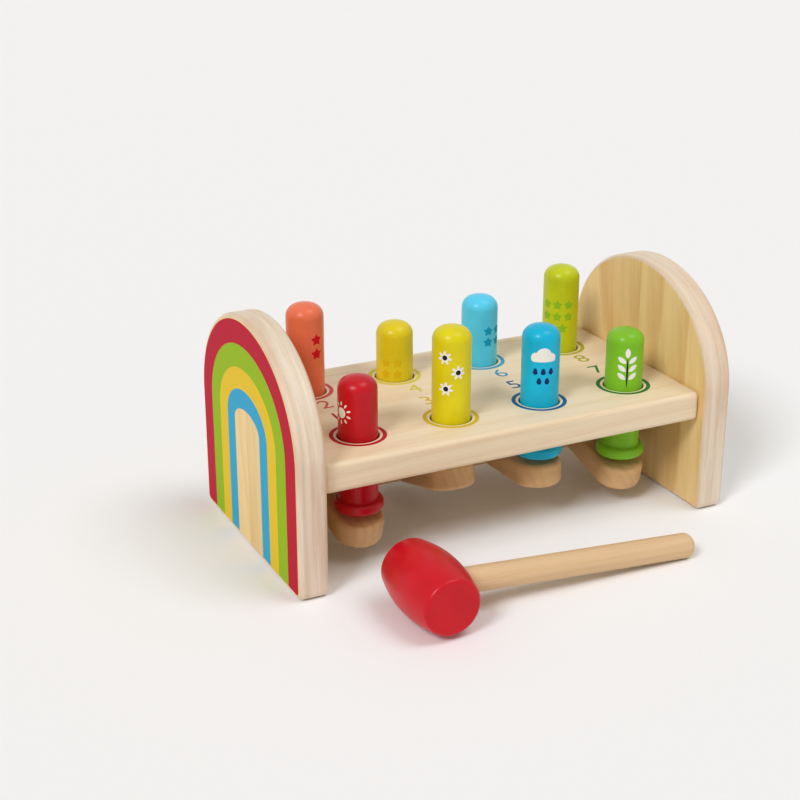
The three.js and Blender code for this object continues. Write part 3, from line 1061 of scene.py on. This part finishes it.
for number, colour in PLANK_INKS.items():
    ink = printed_ink(f"plank_ink_{number}", colour)
    ring_print(number, ink)
    digit_print(number, ink)
arch_prints()
dot_prints()


# Printing round the pegs

def peg_surface(number):
    """Places a point of a print on the shank: along the girth and up from the peg's top, in metres."""
    x, y, _, top = peg_place(number)

    def place(girth, rise, height):
        angle = girth / PEG_RADIUS
        radius = PEG_RADIUS + height
        return x + radius * math.sin(angle), y - radius * math.cos(angle), top + rise
    return place


def patch(bm, outline, centre, place, proud):
    """Closed film over an outline that can be seen whole from its centre."""
    rims = []
    for height in (proud, -INK_SUNK):
        rows = []
        for ring in range(PATCH_RINGS):
            share = 1 - ring / PATCH_RINGS
            points = [place(centre[0] + u * share, centre[1] + v * share, height) for u, v in outline]
            rows.append([bm.verts.new(point) for point in points])
        for outer, inner in zip(rows, rows[1:]):
            join_rings(bm, outer, inner)
        hub = bm.verts.new(place(*centre, height))
        for i, start in enumerate(rows[-1]):
            bm.faces.new((start, rows[-1][(i + 1) % len(outline)], hub))
        rims.append(rows[0])
    join_rings(bm, *rims)


def peg_print(name, number, shapes, ink, proud=INK_PROUD):
    """Shapes are (outline, degrees round, depth below the top), all in one ink."""
    bm = bmesh.new()
    place = peg_surface(number)
    for outline, degrees, depth in shapes:
        patch(bm, outline, (math.radians(degrees) * PEG_RADIUS, -depth), place, proud)
    return dress(plain_object(name, bm), f"peg_{number}", ink)


def polar_outline(radius_at, steps):
    """Outline from a radius for each angle, counted from straight up."""
    outline = []
    for step in range(steps):
        angle = 2 * math.pi * step / steps
        radius = radius_at(angle)
        outline.append((radius * math.sin(angle), radius * math.cos(angle)))
    return outline


def star(radius):
    """Star with straight edges and slightly blunt points."""
    half = math.pi / STAR_POINTS
    notch = Vector((math.cos(half), math.sin(half))) * STAR_WAIST
    edge = notch - Vector((1.0, 0.0))

    def radius_at(angle):
        turn = abs((angle + half) % (2 * half) - half)
        reach = edge.y / (math.cos(turn) * edge.y - math.sin(turn) * edge.x)
        return radius * min(reach, STAR_BLUNT)
    return polar_outline(radius_at, STAR_POINTS * POINT_STEPS)


def disc(radius):
    return polar_outline(lambda angle: radius, DISC_STEPS)


def blossom(radius):
    """Round flower with a notch between its petals."""
    def radius_at(angle):
        return radius * (1 - PETAL_DEPTH + PETAL_DEPTH * math.cos(DAISY_PETALS * angle))
    return polar_outline(radius_at, DAISY_PETALS * POINT_STEPS)


def drop(radius):
    """Round below and pointed above."""
    def radius_at(angle):
        return radius * (1 + DROP_POINT * max(0.0, math.cos(angle)) ** DROP_SHARPNESS)
    return polar_outline(radius_at, DROP_STEPS)


def leaf(length, width, turn=0.0):
    """Pointed oval, turned clockwise from upright by degrees."""
    spin = math.radians(turn)
    outline = []
    for step in range(LEAF_STEPS):
        angle = 2 * math.pi * step / LEAF_STEPS
        along = math.cos(angle) * length / 2
        across = math.copysign(abs(math.sin(angle)) ** LEAF_SHARPNESS, math.sin(angle)) * width / 2
        u = across * math.cos(spin) + along * math.sin(spin)
        v = along * math.cos(spin) - across * math.sin(spin)
        outline.append((u, v))
    return outline


def cloud(size):
    """Flat-bottomed cloud of round humps."""
    def radius_at(angle):
        direction = Vector((math.sin(angle), math.cos(angle)))
        reach = 0.0
        for x, y, radius in CLOUD_HUMPS:
            near = Vector((x, y)).dot(direction)
            room = radius ** 2 - (x * x + y * y - near ** 2)
            if room > 0:
                reach = max(reach, near + math.sqrt(room))
        if direction.y < 0:
            reach = min(reach, CLOUD_FLOOR / -direction.y)
        return size * reach
    return polar_outline(radius_at, CLOUD_STEPS)


def star_print(number, middle, first_row, pitch, radius, rows, colour):
    stars = []
    for row, count in enumerate(rows):
        for aside in spread(count, STAR_COLUMN):
            stars.append((star(radius), middle + aside, first_row + row * pitch))
    peg_print(f"star_print_{number}", number, stars, printed_ink(f"star_ink_{number}", colour))


def sun_print(number, degrees, depth, ink):
    shapes = [(disc(SUN_RADIUS), degrees, depth)]
    for ray in range(SUN_RAYS):
        turn = 360 * ray / SUN_RAYS
        aside = math.degrees(RAY_DISTANCE * math.sin(math.radians(turn)) / PEG_RADIUS)
        above = RAY_DISTANCE * math.cos(math.radians(turn))
        shapes.append((leaf(*RAY_SIZE, turn), degrees + aside, depth - above))
    peg_print(f"sun_print_{number}", number, shapes, ink)


def daisy_print(number, places, petal_ink, heart_ink):
    petals = [(blossom(DAISY_RADIUS), *place) for place in places]
    hearts = [(disc(DAISY_HEART), *place) for place in places]
    peg_print(f"daisy_print_{number}", number, petals, petal_ink)
    peg_print(f"daisy_hearts_{number}", number, hearts, heart_ink, INK_PROUD + SECOND_INK)


def rain_print(number, degrees, depth, cloud_ink, drop_ink):
    drops = []
    for row, count in enumerate(RAIN_ROWS):
        for aside in spread(count, RAIN_COLUMN):
            drops.append((drop(DROP_RADIUS), degrees + aside, depth + RAIN_START + row * RAIN_PITCH))
    peg_print(f"cloud_print_{number}", number, [(cloud(CLOUD_SIZE), degrees, depth)], cloud_ink)
    peg_print(f"drop_print_{number}", number, drops, drop_ink)


def sprig_print(number, degrees, depth, leaf_ink, stem_ink):
    """One leaf at the tip and pairs of leaves below it, on a thin stem."""
    leaves = [(leaf(*TIP_LEAF), degrees, depth)]
    for pair in range(LEAF_PAIRS):
        for side in (-1, 1):
            outline = leaf(*SIDE_LEAF, side * LEAF_TURN)
            leaves.append((outline, degrees + side * LEAF_ASIDE, depth + LEAF_START + pair * LEAF_PITCH))
    stem = [(leaf(*STEM_SIZE), degrees, depth + STEM_DEPTH)]
    peg_print(f"stem_print_{number}", number, stem, stem_ink)
    peg_print(f"leaf_print_{number}", number, leaves, leaf_ink, INK_PROUD + SECOND_INK)


for number, layout in STAR_PRINTS.items():
    star_print(number, *layout)
white_ink = printed_ink("white_ink", MOTIF_WHITE)
dark_ink = printed_ink("dark_ink", MOTIF_DARK)
sun_print(1, *SUN_PLACE, white_ink)
daisy_print(3, DAISY_PLACES, white_ink, dark_ink)
rain_print(5, *CLOUD_PLACE, white_ink, printed_ink("navy_ink", MOTIF_NAVY))
sprig_print(7, *SPRIG_PLACE, white_ink, dark_ink)


# Floor, light and camera

FLOOR_HALF_SIZE = 6.0
FLOOR_COLOUR = (246, 246, 246)
FLOOR_ROUGHNESS = 0.8
FLOOR_SPECULAR = 0.2

# The world's strength as a light and where it is seen, and its colours
WORLD_LIGHT = 0.40
WORLD_SEEN = 0.90
WHITE = (1.0, 1.0, 1.0, 1.0)
WARM_FILL = (1.0, 0.93, 0.83, 1.0)

# Soft boxes: the direction to each, how wide it looks in degrees, and its strength
COOL_LAMP = (0.98, 1.0, 1.045)
SOFT_BOXES = {
    "left_box": ((-0.80, -0.50, 0.85), 18.0, 1.5),
    "right_box": ((0.35, -0.30, 0.95), 32.0, 0.92),
}

# The photograph's camera: its place, its turn and tilt in degrees, and its lens
CAMERA_PLACE = (-0.437743, -0.768941, 0.438808)
CAMERA_YAW = 25.996
CAMERA_PITCH = 21.926
FOCAL_PIXELS = 1601.91
IMAGE_PIXELS = 800
SENSOR_WIDTH = 36.0
VIEW_DEPTH = 50.0


def floor():
    bm = bmesh.new()
    bmesh.ops.create_grid(bm, x_segments=2, y_segments=2, size=FLOOR_HALF_SIZE)
    ground = plain_object("floor", bm)
    material, tree, shader = new_material("pale_floor")
    set_inputs(tree, shader, {
        "Base Color": linear(*FLOOR_COLOUR),
        "Roughness": FLOOR_ROUGHNESS,
        "Specular IOR Level": FLOOR_SPECULAR,
    })
    ground.data.materials.append(material)


def soft_sun(name, direction, width, strength):
    """Distant soft box."""
    lamp = bpy.data.lights.new(name, "SUN")
    lamp.angle = math.radians(width)
    lamp.energy = strength
    lamp.color = COOL_LAMP
    made = new_object(name, lamp)
    made.rotation_euler = Vector(direction).to_track_quat("Z", "Y").to_euler()


def studio():
    """Warm dim world that is bright and white where it is seen or mirrored, and the soft boxes."""
    world = bpy.data.worlds.new("studio")
    bpy.context.scene.world = world
    world.use_nodes = True
    tree = world.node_tree
    rays = add_node(tree, "ShaderNodeLightPath")
    seen = math_node(tree, "MAXIMUM", rays.outputs["Is Camera Ray"], rays.outputs["Is Transmission Ray"])
    seen = math_node(tree, "MAXIMUM", seen, rays.outputs["Is Glossy Ray"])
    set_inputs(tree, tree.nodes["Background"], {
        "Color": mix_colour(tree, seen, WARM_FILL, WHITE),
        "Strength": remap(tree, seen, WORLD_LIGHT, WORLD_SEEN),
    })
    for name, layout in SOFT_BOXES.items():
        soft_sun(name, *layout)


def photo_camera():
    data = bpy.data.cameras.new("photo_camera")
    data.sensor_width = SENSOR_WIDTH
    data.lens = FOCAL_PIXELS / IMAGE_PIXELS * SENSOR_WIDTH
    data.clip_end = VIEW_DEPTH
    camera = new_object("photo_camera", data)
    camera.location = CAMERA_PLACE
    camera.rotation_euler = Euler((math.radians(90 - CAMERA_PITCH), 0.0, -math.radians(CAMERA_YAW)))
    bpy.context.scene.camera = camera


floor()
studio()
photo_camera()
bpy.context.scene.view_settings.view_transform = "Standard"
